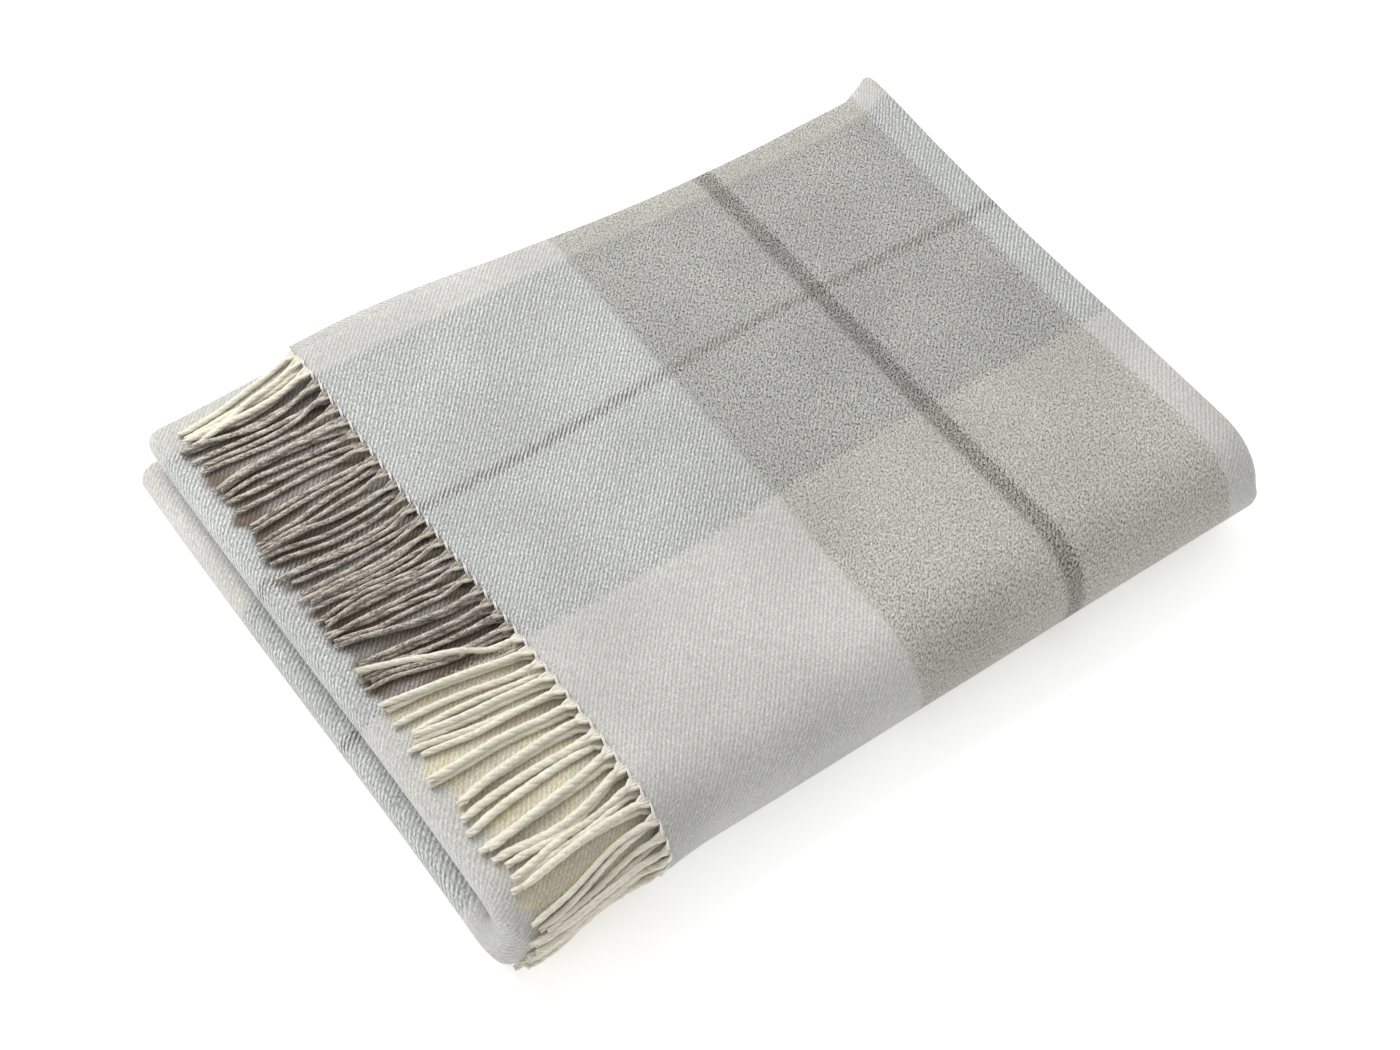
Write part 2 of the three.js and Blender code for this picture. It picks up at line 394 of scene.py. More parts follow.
def spread_apart(w):
    """Moves the members of a row, in order, until neighbours are far enough apart."""
    for _ in range(SPREAD_ROUNDS):
        lack = np.maximum(GAP - np.diff(w), 0) / 2
        w = w.copy()
        w[:-1] -= lack
        w[1:] += lack
    return w


BUNCH = 4  # about so many neighbours lean together
LEAN = 0.0100  # how far a tassel's tip is to one side, with its neighbours
LEAN_ALONE = 0.0026
LEAN_CURVE = 1.3  # over 1, a tassel leans more towards its tip
SWEEP = 0.0060  # of a tassel's middle, between its ends
WAVE = 0.0013
WAVE_TURNS = (0.7, 1.6)
SPLAY_FROM = 0.366  # tassels that start between these ways, underneath, lean to the front
SPLAY_TO = 0.400
SPLAY_LEAN = 0.020


def stations():
    """The stations as a column of shares of a tassel's length, from 0 to 1."""
    return np.linspace(0, 1, STATIONS)[:, None]


def fringe_ways(rng, roots):
    """Where each tassel of a row runs: an array of w, by station and tassel."""
    t = stations()
    count = len(roots)
    lean = LEAN * eased_noise(rng, count, BUNCH) + LEAN_ALONE * rng.normal(size=count)
    sweep = SWEEP * eased_noise(rng, count, BUNCH)
    wave = WAVE * rng.normal(size=count)
    phase = rng.uniform(0, 2 * math.pi, count)
    turns = rng.uniform(*WAVE_TURNS, count)
    lean -= SPLAY_LEAN * ((roots > SPLAY_FROM) & (roots < SPLAY_TO))
    ways = roots + lean * t**LEAN_CURVE + sweep * np.sin(math.pi * t)
    ways += wave * t * np.sin(2 * math.pi * turns * t + phase)
    return np.array([spread_apart(row) for row in ways])


EASE_ROUNDS = 3


def eased_along(heights):
    """Heights that change gradually from one station to the next."""
    for _ in range(EASE_ROUNDS):
        inner = (heights[:-2] + 2 * heights[1:-1] + heights[2:]) / 4
        heights = np.concatenate([heights[:1], inner, heights[-1:]])
    return heights


def rest_on(ways, lower_ways, lower_heights, floor):
    """Height of each upper tassel, which lies on the lower row or on the cloth between them."""
    reach = 2 * TASSEL_R
    apart = ways[:, :, None] - lower_ways[:, None, :]
    over = np.sqrt(np.maximum(reach**2 - apart**2, 0))
    held = np.where(np.abs(apart) < reach, lower_heights[:, None, :] + over, 0)
    return np.maximum(held.max(axis=2), floor + TASSEL_R)


LANDING = 0.28  # the share of its length in which a tassel comes down


def drop_from_hem(heights, hem_h):
    """Brings a row down smoothly from its hem to where it rests."""
    return between(hem_h, heights, smooth(stations(), 0, LANDING))


def rings_round(centre_w, centre_h, radius, sides):
    """Points round each centre, by ring and corner."""
    corner = 2 * math.pi * np.arange(sides) / sides
    ring_w = centre_w[:, None] + radius[:, None] * np.cos(corner)
    ring_h = centre_h[:, None] + radius[:, None] * np.sin(corner)
    return ring_w, ring_h


def yarn_rings(s, w, h, strand, number):
    """Rings of one of a strand's yarns, in block coordinates, by ring and corner."""
    length = strand["length"]
    root = 1 - smooth(s, *ROOT_CLOSING)
    tip = smooth(s, length - TIP_LENGTH, length)
    fullness = 1.0 if strand["taupe"] else CREAM_FULLNESS
    turn = strand["phase"] + 2 * math.pi * s / TWIST + YARN_TURNS[number]
    offset = fullness * YARN_OFFSET * (1 + TIP_LOOSER * tip) * (1 - root)
    middle = (len(YARN_TURNS) - 1) / 2
    centre_w = w + offset * np.cos(turn) + ROOT_PITCH * (number - middle) * root
    centre_h = h + offset * np.sin(turn)
    radius = fullness * YARN_R * (1 - TIP_THINNER * tip) * (1 - ROOT_THINNER * root)
    return rings_round(centre_w, centre_h, radius, YARN_SIDES)


def tube_faces(rings, sides, start):
    """The quads of a tube of rings, and a face at each end."""
    index = start + np.arange(rings * sides).reshape(rings, sides)
    closed = np.concatenate([index, index[:, :1]], axis=1)
    corners = [closed[:-1, :-1], closed[:-1, 1:], closed[1:, 1:], closed[1:, :-1]]
    quads = np.stack(corners, axis=-1).reshape(-1, 4).tolist()
    return [*quads, index[0, ::-1].tolist(), index[-1].tolist()]


TASSEL_UV_STEP = 0.05  # apart in the texture, so that no two tassels look alike
YARN_UV_STEP = 0.011


def yarn_uvs(s, tassel, yarn):
    """Texture coordinates of a yarn's rings: along it and round it."""
    round_it = 2 * math.pi * YARN_R * np.arange(YARN_SIDES) / YARN_SIDES
    across_uv = round_it + TASSEL_UV_STEP * tassel + YARN_UV_STEP * yarn
    return np.stack(np.meshgrid(s, across_uv, indexing="ij"), axis=-1).reshape(-1, 2)


def strand_parts(hem_x, strand, number, start, ring_step):
    """Vertices, faces and texture coordinates of one tassel."""
    rings = round(strand["length"] / ring_step)
    s = np.linspace(0, strand["length"], rings)
    at = np.linspace(0, FRINGE_LENGTH, STATIONS)
    w = np.interp(s, at, strand["ways"])
    h = np.interp(s, at, strand["heights"])
    vertices, faces, uvs = [], [], []
    for yarn in range(len(YARN_TURNS)):
        ring_w, ring_h = yarn_rings(s, w, h, strand, yarn)
        ring_x = np.broadcast_to(hem_x + ROOT_INSIDE - s[:, None], ring_w.shape)
        vertices.append(place(ring_x, ring_w, ring_h).reshape(-1, 3))
        faces += tube_faces(rings, YARN_SIDES, start + yarn * rings * YARN_SIDES)
        uvs.append(yarn_uvs(s, number, yarn))
    return np.concatenate(vertices), faces, np.concatenate(uvs)


def make_fringe(name, node, hem_x, strands, ring_step, materials):
    """One object of the tassels listed, which stands for a CAD node."""
    vertices, faces, uvs, shades = [], [], [], []
    start = 0
    for number, strand in enumerate(strands):
        part = strand_parts(hem_x, strand, number, start, ring_step)
        vertices.append(part[0])
        faces += part[1]
        uvs.append(part[2])
        shades += [0 if strand["taupe"] else 1] * len(part[1])
        start += len(part[0])
    made = make_object(name, np.concatenate(vertices), faces, np.concatenate(uvs))
    used = sorted(set(shades))
    for shade in used:
        made.data.materials.append(materials[shade])
    made.data.polygons.foreach_set("material_index", [used.index(shade) for shade in shades])
    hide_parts(node)
    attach(made, "root")
    return made


def row_of(rng, ways, heights, taupe):
    """The tassels of a row, each with its own length and twist."""
    count = ways.shape[1]
    lengths = FRINGE_LENGTH + LENGTH_SPREAD * rng.uniform(-1, 1, count)
    phases = rng.uniform(0, 2 * math.pi, count)
    return [
        {
            "ways": ways[:, i],
            "heights": heights[:, i],
            "length": lengths[i],
            "phase": phases[i],
            "taupe": taupe[i],
        }
        for i in range(count)
    ]


def roots_at(s, from_selvedge, second):
    """Where a row of tassels starts at the hem at s, in w, in either layer."""
    v = CLOTH_WIDTH - from_selvedge if second else from_selvedge
    return lie(s, v)[0]


def tassels_across():
    """How far each tassel of a row is from the selvedge, and whether it is taupe."""
    from_selvedge = TASSEL_PITCH * (0.5 + np.arange(int(WAY / TASSEL_PITCH)))
    return from_selvedge, (from_selvedge - SELVEDGE_BAND) % (2 * WARP_BAND) < WARP_BAND


BESIDE = (-0.10, 0.50)  # second-row tassels lie this far from the upper ones, in pitches
SECOND_LEAN = 0.0036


def second_row_ways(rng, ways, roots, second_roots):
    """The second row bends as the upper one does, so that the cloth shows between them."""
    apart = TASSEL_PITCH * rng.uniform(*BESIDE, len(roots))
    lean = SECOND_LEAN * rng.normal(size=len(roots))
    beside = second_roots + apart + (ways - roots) + lean * stations()
    return np.array([spread_apart(row) for row in beside])


ODD_TASSEL = 0.5 * TASSEL_PITCH  # a cream one among the taupe, so far from the last of them
ODD_LEAN = 0.014  # towards the far edge
ODD_CURVE = 1.2
ODD_RISE = (0.15, 0.40)  # it climbs over its neighbours between these shares of its length


def outer_rows(rng):
    """The two rows at the outer hem: the outer layer's, and the second layer's below it."""
    from_selvedge, taupe = tassels_across()
    roots = roots_at(0.0, from_selvedge, False)
    ways = fringe_ways(rng, roots)

    second_ways = second_row_ways(rng, ways, roots, roots_at(0.0, from_selvedge, True))
    second_rest = np.full(second_ways.shape, LOBE_TOP + TASSEL_R)
    second_row = row_of(rng, second_ways, drop_from_hem(second_rest, SECOND_H), taupe)

    t = stations()[:, 0]
    odd = np.argmin(np.abs(from_selvedge - (SELVEDGE_BAND + WARP_BAND - ODD_TASSEL)))
    ways[:, odd] -= ODD_LEAN * t**ODD_CURVE
    rest = eased_along(rest_on(ways, second_ways, second_rest, LOBE_TOP))
    rest[:, odd] += 2 * TASSEL_R * smooth(t, *ODD_RISE)
    taupe[odd] = False
    return row_of(rng, ways, drop_from_hem(rest, OUTER_H), taupe), second_row


def make_outer_fringe(rng, materials):
    row, second_row = outer_rows(rng)
    made = []
    for node, tassel in zip(TASSEL_NAMES, row):
        name = f"twisted_{node}"
        made.append(make_fringe(name, node, OUTER_HEM_X, [tassel], SHOWN_STEP, materials))
    hidden = [
        ("underside_fringe", row[len(TASSEL_NAMES) :], UNDERSIDE_STEP),
        ("second_layer_fringe", second_row, SECOND_STEP),
    ]
    for node, tassels, step in hidden:
        name = f"twisted_{node}"
        made.append(make_fringe(name, node, OUTER_HEM_X, tassels, step, materials))
    return made


def make_inner_fringe(rng, materials):
    """Both layers' tassels at the inner hem, side by side between the two halves."""
    from_selvedge, taupe = tassels_across()
    strands = []
    for second, h in ((True, INNER_SECOND_H), (False, INNER_H)):
        ways = fringe_ways(rng, roots_at(CLOTH_LENGTH, from_selvedge, second))
        heights = np.full(ways.shape, max(h, TASSEL_R))
        strands += row_of(rng, ways, heights, taupe)
    node = "inner_fringe"
    name = f"twisted_{node}"
    return make_fringe(name, node, INNER_HEM_X, strands, INNER_STEP, materials)


# ---- Hemstitching ----

STITCHES = 2  # slanted threads to each tassel
STITCH_SPACING = 0.0016
STITCH_R = 0.00066
STITCH_SIDES = 6
STITCH_RINGS = 9
STITCH_START = 0.0014  # beyond the end of the hem
STITCH_REACH = 0.0018  # from there, over the cloth's edge
STITCH_SLANT = 0.0046
STITCH_RISE = 0.0008  # how far it stands above the cloth's edge
STITCH_DIP = 0.12  # the share of a stitch, from its start, that is below the cloth's edge
STITCH_TAPER = (0.18, 0.86)  # its ends are rounded off as those of a half wave are
STITCH_FULLNESS = 0.4  # less is rounder at the ends
FOLD_MARGIN = 0.002  # no stitch is nearer to the fold in the width


def stitch_path(hem_x, h, w, edge):
    """A whip stitch: from beyond the end of the hem, over its edge and into the outer face."""
    t = np.linspace(0, 1, STITCH_RINGS)
    x = hem_x - STITCH_START + STITCH_REACH * t
    rise = edge + STITCH_RISE * np.sin(math.pi * (t - STITCH_DIP))
    return x, w + STITCH_SLANT * (0.5 - t), h + rise


def make_stitches(name, node, s, hem_x, h, material):
    """The stitches along the hem at s, where the layer's middle is at h."""
    edge = EDGE_SHARE * THICKNESS / 2
    taper = np.sin(math.pi * np.linspace(*STITCH_TAPER, STITCH_RINGS))
    radius = STITCH_R * taper**STITCH_FULLNESS
    middle = (STITCHES - 1) / 2
    vertices, faces = [], []
    for number in range(STITCHES * int((WAY - FOLD_MARGIN) / TASSEL_PITCH)):
        tassel, thread = divmod(number, STITCHES)
        from_selvedge = TASSEL_PITCH * (tassel + 1) + STITCH_SPACING * (thread - middle)
        x, w, up = stitch_path(hem_x, h, roots_at(s, from_selvedge, False), edge)
        ring_w, ring_h = rings_round(w, up, radius, STITCH_SIDES)
        ring_x = np.broadcast_to(x[:, None], ring_w.shape)
        vertices.append(place(ring_x, ring_w, ring_h).reshape(-1, 3))
        faces += tube_faces(STITCH_RINGS, STITCH_SIDES, number * STITCH_RINGS * STITCH_SIDES)
    made = make_object(name, np.concatenate(vertices), faces)
    made.data.materials.append(material)
    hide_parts(node)
    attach(made, "root")
    return made


# ---- Materials ----

SPECULAR = 0.2
SHEEN_ROUGHNESS = 0.6


class Graph:
    """Builds a material's nodes. A call that adds a node returns the node's output."""

    def __init__(self, name):
        self.material = bpy.data.materials.new(name)
        self.material.use_nodes = True
        self.nodes = self.material.node_tree.nodes
        self.shader = self.nodes["Principled BSDF"]

    def set(self, socket, value):
        if isinstance(value, bpy.types.NodeSocket):
            self.material.node_tree.links.new(value, socket)
        else:
            socket.default_value = value

    def add(self, kind, inputs, output=0, **settings):
        """Adds a node. The inputs are numbers, colours or other nodes' outputs."""
        made = self.nodes.new(kind)
        for key, value in settings.items():
            setattr(made, key, value)
        for key, value in inputs.items():
            self.set(made.inputs[key], value)
        return made.outputs[output]

    def math(self, operation, *values):
        return self.add("ShaderNodeMath", dict(enumerate(values)), operation=operation)

    def wave(self, value):
        """A sine wave of one full turn to each unit of value."""
        return self.math("SINE", self.math("MULTIPLY", value, 2 * math.pi))

    def weighted(self, value, factor, rest):
        """The value times the factor, plus the rest."""
        return self.math("MULTIPLY_ADD", value, factor, rest)

    def ramp(self, value, low, high, to_low=0.0, to_high=1.0):
        """Goes smoothly from to_low, where value is low or less, to to_high."""
        inputs = {0: value, 1: low, 2: high, 3: to_low, 4: to_high}
        return self.add("ShaderNodeMapRange", inputs, interpolation_type="SMOOTHSTEP")

    def mix(self, amount, first, second, blend="MIX"):
        inputs = {0: amount, 6: first, 7: second}  # 6, 7 and output 2 are those for colours
        return self.add("ShaderNodeMix", inputs, 2, data_type="RGBA", blend_type=blend)

    def combine(self, x, y, z=0.0):
        return self.add("ShaderNodeCombineXYZ", {0: x, 1: y, 2: z})

    def scale_colour(self, colour, amount):
        """The colour times a number."""
        return self.mix(1.0, colour, self.combine(amount, amount, amount), "MULTIPLY")

    def noise(self, vector, detail=2.0, roughness=0.5):
        inputs = {"Vector": vector, "Scale": 1.0, "Detail": detail, "Roughness": roughness}
        return self.add("ShaderNodeTexNoise", inputs)

    def centred(self, noise):
        """Noise, which is 0.5 on average, moved to be 0 on average."""
        return self.math("SUBTRACT", noise, 0.5)

    def cloth_axes(self):
        """The two coordinates of the UV map, in metres of cloth or of yarn."""
        uv = self.add("ShaderNodeUVMap", {}, uv_map="cloth")
        made = self.nodes.new("ShaderNodeSeparateXYZ")
        self.set(made.inputs[0], uv)
        return made.outputs[0], made.outputs[1]

    def scaled(self, u, v, per_u, per_v):
        """A vector with u and v each measured in units of their own."""
        return self.combine(self.math("DIVIDE", u, per_u), self.math("DIVIDE", v, per_v))

    def bump(self, height, distance):
        inputs = {"Height": height, "Distance": distance, "Strength": 1.0}
        self.set(self.shader.inputs["Normal"], self.add("ShaderNodeBump", inputs))

    def finish(self, colour, roughness, sheen):
        self.set(self.shader.inputs["Base Color"], colour)
        self.shader.inputs["Roughness"].default_value = roughness
        self.shader.inputs["Specular IOR Level"].default_value = SPECULAR
        self.shader.inputs["Sheen Weight"].default_value = sheen
        self.shader.inputs["Sheen Roughness"].default_value = SHEEN_ROUGHNESS
        return self.material


def rgb(red, green, blue):
    """Linear colour from a picture's usual 0 to 255 values."""
    values = [channel / 255 for channel in (red, green, blue)]
    linear = [c / 12.92 if c <= 0.04045 else ((c + 0.055) / 1.055) ** 2.4 for c in values]
    return (*linear, 1.0)


# Colours of the threads as they lie in the cloth.
WHITE_WEFT = rgb(217, 218, 217)
TAUPE_WEFT = rgb(197, 196, 187)
DARK_WEFT = rgb(74, 59, 48)
CREAM_WARP = rgb(200, 198, 188)
TAUPE_WARP = rgb(166, 167, 165)
THIN_WARP = rgb(94, 90, 87)
# Painted shade and painted bounce light under the outer hem's tassels: the cloth is browned and
# darkened under the taupe ones, as their shadow, and warmed and lightened under the cream ones.
TAUPE_PAINTED_SHADE = rgb(144, 127, 109)  # the cloth's colour is times these where the tassels lie on it
CREAM_PAINTED_BOUNCE = rgb(276, 266, 240)

# The fringe's yarns and the stitches, each in two tones that mingle.
TAUPE_YARN = (rgb(214, 206, 194), rgb(106, 94, 82))
CREAM_YARN = (rgb(236, 231, 216), rgb(219, 213, 195))
WHITE_THREAD = (rgb(244, 243, 240), rgb(255, 255, 254))

WEFT_FIRST = 0.1402  # from the outer hem to the first taupe band
WEFT_TAUPE = 0.1790
WEFT_REPEAT = 0.3542
DARK_HALF = 0.0050  # half the width of the dark stripe in the middle of each taupe weft band
THIN_HALF = 0.0032  # and of the thin stripe in the middle of each taupe warp band
BAND_BLUR = 0.0014
DARK_BLUR = 0.0018
THIN_BLUR = 0.0009
PICK = 0.00066  # from one weft pick to the next
END = 0.00068  # from one warp end to the next

# Sizes of the cloth's unevenness, from single fibres to clouds in the colour.
FIBRE = 0.00075
SPECKLE_ALONG = 0.0019  # along the ribs
SPECKLE_ACROSS = 0.0011
MOTTLE = 0.0042
MELANGE = 0.005  # length of one shade along a thread
CLOUD = 0.055

FRAYING = 0.011  # how far the speckle moves the edges of the bands
CLOUD_RANGE = (0.30, 0.70)
CLOUD_TONES = (0.93, 1.05)
RIB_RELIEF = 0.00018


def band(g, distance, start, repeat, width, blur):
    """1 inside bands of a width that repeat from start, 0 outside, with soft edges."""
    shifted = g.math("SUBTRACT", distance, start + width / 2)
    wave = g.math("PINGPONG", shifted, repeat / 2)
    return g.ramp(wave, width / 2 - blur, width / 2 + blur, 1.0, 0.0)


def stripe(g, distance, band_start, band_width, repeat, half, blur):
    """1 inside a stripe in the middle of each band."""
    return band(g, distance, band_start + band_width / 2 - half, repeat, 2 * half, blur)


def check(g, u, from_selvedge, speckle):
    """Where the taupe bands and their stripes are, in the weft and in the warp."""
    frayed = g.math("MULTIPLY", speckle, FRAYING)
    u = g.math("ADD", u, frayed)
    v = g.math("ADD", from_selvedge, frayed)
    taupe_weft = band(g, u, WEFT_FIRST, WEFT_REPEAT, WEFT_TAUPE, BAND_BLUR)
    dark = stripe(g, u, WEFT_FIRST, WEFT_TAUPE, WEFT_REPEAT, DARK_HALF, DARK_BLUR)
    taupe_warp = band(g, v, SELVEDGE_BAND, 2 * WARP_BAND, WARP_BAND, BAND_BLUR)
    thin = stripe(g, v, SELVEDGE_BAND, WARP_BAND, 2 * WARP_BAND, THIN_HALF, THIN_BLUR)
    return taupe_weft, dark, taupe_warp, thin


RIB_U = 4 * PICK  # from one rib to the next, four threads
RIB_V = 4 * END
RIB_WOBBLE = 0.6  # how far the mottle bends the ribs, in ribs
RIB_BREAKS = 5.0  # how much the fibres break them up,
RIB_BREAKS_TAUPE = 6.0  # and how much more in the taupe weft bands


def twill(g, u, v, taupe_weft, fibres, mottle):
    """How far the warp lies on top of the weft, in slanting ribs."""
    steps = g.math("ADD", g.math("DIVIDE", u, RIB_U), g.math("DIVIDE", v, RIB_V))
    rib = g.wave(g.math("ADD", steps, g.math("MULTIPLY", g.centred(mottle), RIB_WOBBLE)))
    raggedness = g.weighted(taupe_weft, RIB_BREAKS_TAUPE, RIB_BREAKS)
    broken = g.math("MULTIPLY", g.centred(fibres), raggedness)
    return g.ramp(g.math("ADD", rib, broken), -1.0, 1.0)


DARK_FLECKS = (-0.12, 0.12)  # speckle between these breaks up the dark stripe,
DARK_LEAST = 0.35  # and leaves at least this much of it
THIN_WEAR = (0.35, 0.60)  # mottle between these wears the thin stripe,
THIN_LEAST = 0.40  # and leaves at least this much of it
TAUPE_HIDES = 0.12  # the weft hides this much of the warp in its taupe bands,
DARK_HIDES = 0.38  # and this much more in their dark stripes


def thread_colour(g, bands, warp_up, speckle, mottle):
    """The colour of the threads on top, before the unevenness of the yarn."""
    taupe_weft, dark, taupe_warp, thin = bands
    weft = g.mix(taupe_weft, WHITE_WEFT, TAUPE_WEFT)
    flecked = g.math("MULTIPLY", dark, g.ramp(speckle, *DARK_FLECKS, 1.0, DARK_LEAST))
    weft = g.mix(flecked, weft, DARK_WEFT)
    warp = g.mix(taupe_warp, CREAM_WARP, TAUPE_WARP)
    worn = g.ramp(mottle, *THIN_WEAR, THIN_LEAST, 1.0)
    warp = g.mix(g.math("MULTIPLY", thin, worn), warp, THIN_WARP)
    warp_shows = g.weighted(dark, -DARK_HIDES, g.weighted(taupe_weft, -TAUPE_HIDES, 1.0))
    return g.mix(g.math("MULTIPLY", warp_up, warp_shows), weft, warp)


FIBRES_WEIGHT = 2.4  # beside the two threads' shades, in the melange
MELANGE_RANGE = (1.70, 2.70)
MELANGE_TONES = (0.70, 1.10)  # the colour is times these at the ends of the range
FLECKS = 0.9  # how strong the speckle is,
FLECKS_TAUPE_WARP = 1.8  # how much stronger in the taupe warp bands,
FLECKS_TAUPE_WEFT = 3.2  # and in the taupe weft bands
FLECK_LIGHTEST = 1.26


def heathered(g, colour, u, v, bands, fibres, speckle):
    """The colour with the light and dark fibres of the yarn, strongest in the taupe."""
    taupe_weft, _, taupe_warp, _ = bands
    along_pick = g.noise(g.scaled(u, v, PICK, MELANGE))
    along_end = g.noise(g.scaled(u, v, MELANGE, END))
    melange = g.weighted(fibres, FIBRES_WEIGHT, g.math("ADD", along_pick, along_end))
    colour = g.scale_colour(colour, g.ramp(melange, *MELANGE_RANGE, *MELANGE_TONES))
    in_weft = g.weighted(taupe_weft, FLECKS_TAUPE_WEFT, FLECKS)
    strength = g.weighted(taupe_warp, FLECKS_TAUPE_WARP, in_weft)
    flecks = g.weighted(speckle, strength, 1.0)
    return g.scale_colour(colour, g.math("MINIMUM", flecks, FLECK_LIGHTEST))


# The outer hem's tassels lie on the second layer from this u on. Under them the cloth gets painted
# shade and painted bounce light, in patches.
FRINGE_U = PASS_1 + PLEAT_TURN + RIGHT_X - OUTER_HEM_X - math.pi * HALF_TURN_R
TINT_END = FRINGE_U + 0.84 * FRINGE_LENGTH
TINT_RAGGED = 0.020  # the patches carry the tint this much further
TINT_BLUR = (-0.004, 0.003)  # distances outside the tint between which it fades
TINT_PATCH = (0.030, 0.009)
TINT_DEPTHS = (0.36, 0.60)  # patches between these are deeper and deeper,
TINT_LEAST = 0.65  # from this much
SELVEDGE_TINT = 0.1  # how much of the tint is left at the selvedge,
SELVEDGE_FADE = 1.5 * SELVEDGE_BAND  # and how far in it is whole


def fringe_painted_light(g, u, v, from_selvedge):
    """How much painted shade and bounce light the tassels put on the cloth they lie on, up to 1.
    """
    patches = g.noise(g.scaled(u, v, *TINT_PATCH), detail=1.0)
    past_tips = g.math("SUBTRACT", u, g.weighted(patches, TINT_RAGGED, TINT_END))
    before_hem = g.math("SUBTRACT", FRINGE_U, u)
    outside = g.math("MAXIMUM", past_tips, before_hem)
    depth = g.ramp(patches, *TINT_DEPTHS, TINT_LEAST, 1.0)
    tint = g.math("MULTIPLY", g.ramp(outside, *TINT_BLUR, 1.0, 0.0), depth)
    inwards = g.ramp(from_selvedge, 0.0, SELVEDGE_FADE, SELVEDGE_TINT, 1.0)
    tint = g.math("MULTIPLY", tint, inwards)
    return g.math("MULTIPLY", tint, g.math("GREATER_THAN", v, CLOTH_WIDTH / 2))


# Heights in the relief, where a rib's is 1.
THREAD_HEIGHT = 0.15
FIBRE_HEIGHT = 1.2


def relief(g, u, v, warp_up, fibres):
    """Height of the surface: ribs, the roundness of single threads, and fibres."""
    pick_round = g.math("ABSOLUTE", g.math("SINE", g.math("MULTIPLY", u, math.pi / PICK)))
    end_round = g.math("ABSOLUTE", g.math("SINE", g.math("MULTIPLY", v, math.pi / END)))
    threads = g.weighted(g.math("ADD", pick_round, end_round), THREAD_HEIGHT, warp_up)
    return g.weighted(fibres, FIBRE_HEIGHT, threads)


def cloth_material():
    g = Graph("check_twill")
    u, v = g.cloth_axes()
    from_selvedge = g.math("PINGPONG", v, CLOTH_WIDTH / 2)
    fibres = g.noise(g.scaled(u, v, FIBRE, FIBRE), detail=3.0, roughness=0.7)
    along_ribs = g.math("SUBTRACT", u, v)
    across_ribs = g.math("ADD", u, v)
    lattice = g.scaled(along_ribs, across_ribs, SPECKLE_ALONG, SPECKLE_ACROSS)
    speckle = g.centred(g.noise(lattice, roughness=0.65))
    mottle = g.noise(g.scaled(u, v, MOTTLE, MOTTLE))

    bands = check(g, u, from_selvedge, speckle)
    taupe_weft, _, taupe_warp, _ = bands
    warp_up = twill(g, u, v, taupe_weft, fibres, mottle)
    colour = thread_colour(g, bands, warp_up, speckle, mottle)
    colour = heathered(g, colour, u, v, bands, fibres, speckle)
    clouds = g.noise(g.scaled(u, v, CLOUD, CLOUD), detail=1.0)
    colour = g.scale_colour(colour, g.ramp(clouds, *CLOUD_RANGE, *CLOUD_TONES))
    # Painted shade and painted bounce light where the tassels lie on the cloth: browner and darker
    # under the taupe ones, warmer and lighter under the cream ones.
    with_painted_light = g.mix(1.0, colour, g.mix(taupe_warp, CREAM_PAINTED_BOUNCE, TAUPE_PAINTED_SHADE), "MULTIPLY")
    colour = g.mix(fringe_painted_light(g, u, v, from_selvedge), colour, with_painted_light)
    g.bump(relief(g, u, v, warp_up, fibres), RIB_RELIEF)
    return g.finish(colour, roughness=0.92, sheen=0.25)


YARN_FIBRE = (0.0022, 0.0009)  # along a yarn and round it
YARN_MOTTLE = (0.010, 0.004)
YARN_TONE = 0.021  # so far apart round the yarns, their shades differ
YARN_SLANT = 0.5  # the fibres' slope round the yarn
TONE_WEIGHT = 0.5  # beside the fibres, in the yarn's shade
MOTTLE_WEIGHT = 0.4
YARN_RANGE = (0.76, 1.12)
YARN_RELIEF = 0.0004


def yarn_material(name, light, dark):
    g = Graph(name)
    s, around = g.cloth_axes()
    slant = g.weighted(s, YARN_SLANT, around)
    fibres = g.noise(g.scaled(s, slant, *YARN_FIBRE), detail=3.0, roughness=0.7)
    mottle = g.noise(g.scaled(s, around, *YARN_MOTTLE))
    tone = g.noise(g.scaled(0.0, around, 1.0, YARN_TONE), detail=0.0)
    shade = g.weighted(tone, TONE_WEIGHT, g.weighted(mottle, MOTTLE_WEIGHT, fibres))
    colour = g.mix(g.ramp(shade, *YARN_RANGE), dark, light)
    g.bump(fibres, YARN_RELIEF)
    return g.finish(colour, roughness=0.92, sheen=0.3)


THREAD_FIBRES = 1400.0  # to a metre
THREAD_RELIEF = 0.0002


def thread_material():
    g = Graph("hem_thread")
    position = g.add("ShaderNodeTexCoord", {}, output=3)  # 3 is the object's own coordinates
    inputs = {0: position, "Scale": THREAD_FIBRES}
    fibres = g.noise(g.add("ShaderNodeVectorMath", inputs, operation="SCALE"))
    colour = g.mix(fibres, *WHITE_THREAD)
    g.bump(fibres, THREAD_RELIEF)
    return g.finish(colour, roughness=0.9, sheen=0.2)


# ---- Studio ----

SENSOR_WIDTH = 36.0  # millimetres, as the lens is
LENS = 56.62
CAMERA_AT = (-0.3602, -0.5300, 0.8705)
CAMERA_PITCH = 54.09  # degrees below level
CAMERA_HEADING = 34.638  # degrees from +Y towards +X


def make_camera():
    data = bpy.data.cameras.new("camera")
    data.sensor_width = SENSOR_WIDTH
    data.lens = LENS
    camera = bpy.data.objects.new("camera", data)
    camera.location = CAMERA_AT
    pitch = math.radians(CAMERA_PITCH)
    heading = math.radians(CAMERA_HEADING)
    flat = math.cos(pitch)
    look = Vector((math.sin(heading) * flat, math.cos(heading) * flat, -math.sin(pitch)))
    camera.rotation_euler = look.to_track_quat("-Z", "Y").to_euler()
    bpy.context.scene.collection.objects.link(camera)
    bpy.context.scene.camera = camera


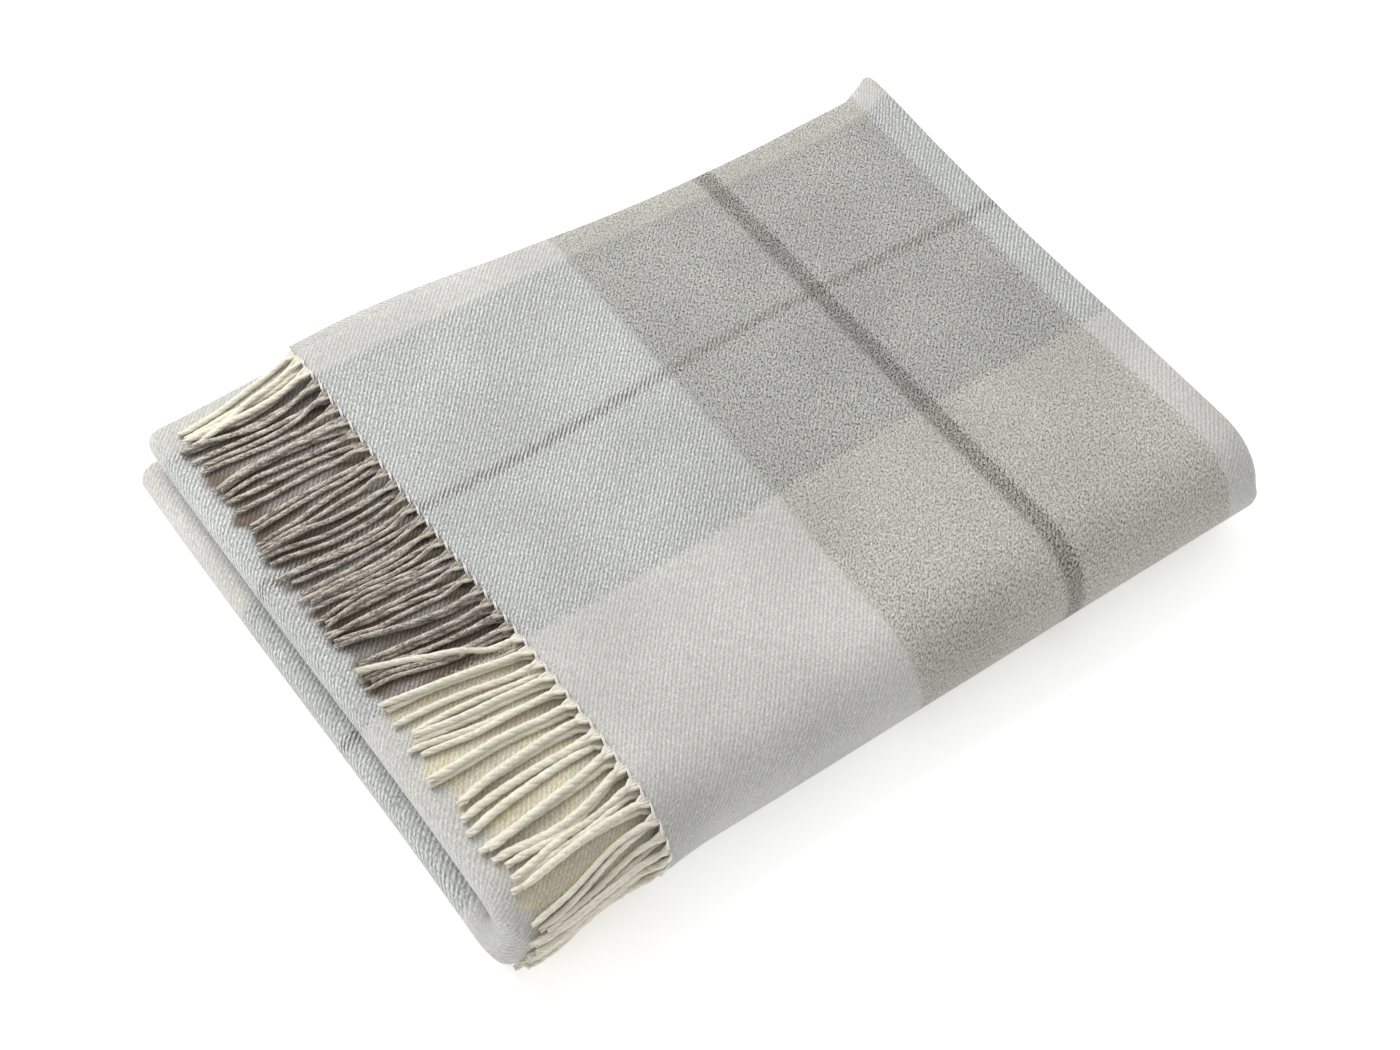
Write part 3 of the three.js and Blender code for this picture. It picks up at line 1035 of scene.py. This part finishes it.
def area_light(name, location, size, power):
    """A round light that faces the origin."""
    data = bpy.data.lights.new(name, "AREA")
    data.shape = "DISK"
    data.size = size
    data.energy = power
    light = bpy.data.objects.new(name, data)
    light.location = location
    light.rotation_euler = (-Vector(location)).to_track_quat("-Z", "Y").to_euler()
    bpy.context.scene.collection.objects.link(light)


WHITE = (1, 1, 1, 1)
ROOM_LIGHT = 0.52
FLOOR_HALF = 4.0
FLOOR_COLOUR = (0.93, 0.93, 0.93, 1)
FLOOR_GLOW = 0.40  # a lit table, which keeps the shadow beside the throw light


def make_floor():
    g = Graph("pale_floor")
    g.finish(FLOOR_COLOUR, roughness=0.9, sheen=0.0)
    g.shader.inputs["Emission Color"].default_value = WHITE
    g.shader.inputs["Emission Strength"].default_value = FLOOR_GLOW
    corners = FLOOR_HALF * np.array([(-1, -1, 0), (1, -1, 0), (1, 1, 0), (-1, 1, 0)])
    floor = make_object("floor", corners, [(0, 1, 2, 3)])
    floor.data.materials.append(g.material)


def make_studio():
    scene = bpy.context.scene
    scene.view_settings.view_transform = "Standard"
    world = bpy.data.worlds.new("studio")
    world.use_nodes = True
    background = world.node_tree.nodes["Background"]
    background.inputs["Color"].default_value = WHITE
    background.inputs["Strength"].default_value = ROOM_LIGHT
    scene.world = world
    area_light("window", location=(-0.30, 0.78, 1.02), size=1.0, power=13)
    area_light("left", location=(-1.2, 0.10, 0.45), size=0.9, power=2.4)
    area_light("fill", location=(1.1, 0.0, 1.2), size=1.4, power=5)
    make_floor()


def main():
    make_camera()
    rng = np.random.default_rng(SEED)
    cloth = make_cloth()
    cloth.data.materials.append(cloth_material())
    yarns = [yarn_material("taupe_yarn", *TAUPE_YARN), yarn_material("cream_yarn", *CREAM_YARN)]
    fringe = make_outer_fringe(rng, yarns)
    fringe.append(make_inner_fringe(rng, yarns))
    thread = thread_material()
    stitches = [
        make_stitches(
            "outer_hemstitch_loops", "outer_hemstitch", 0.0, OUTER_HEM_X, OUTER_H, thread
        ),
        make_stitches(
            "inner_hemstitch_loops", "inner_hemstitch", CLOTH_LENGTH, INNER_HEM_X, INNER_H, thread
        ),
    ]
    make_studio()


main()
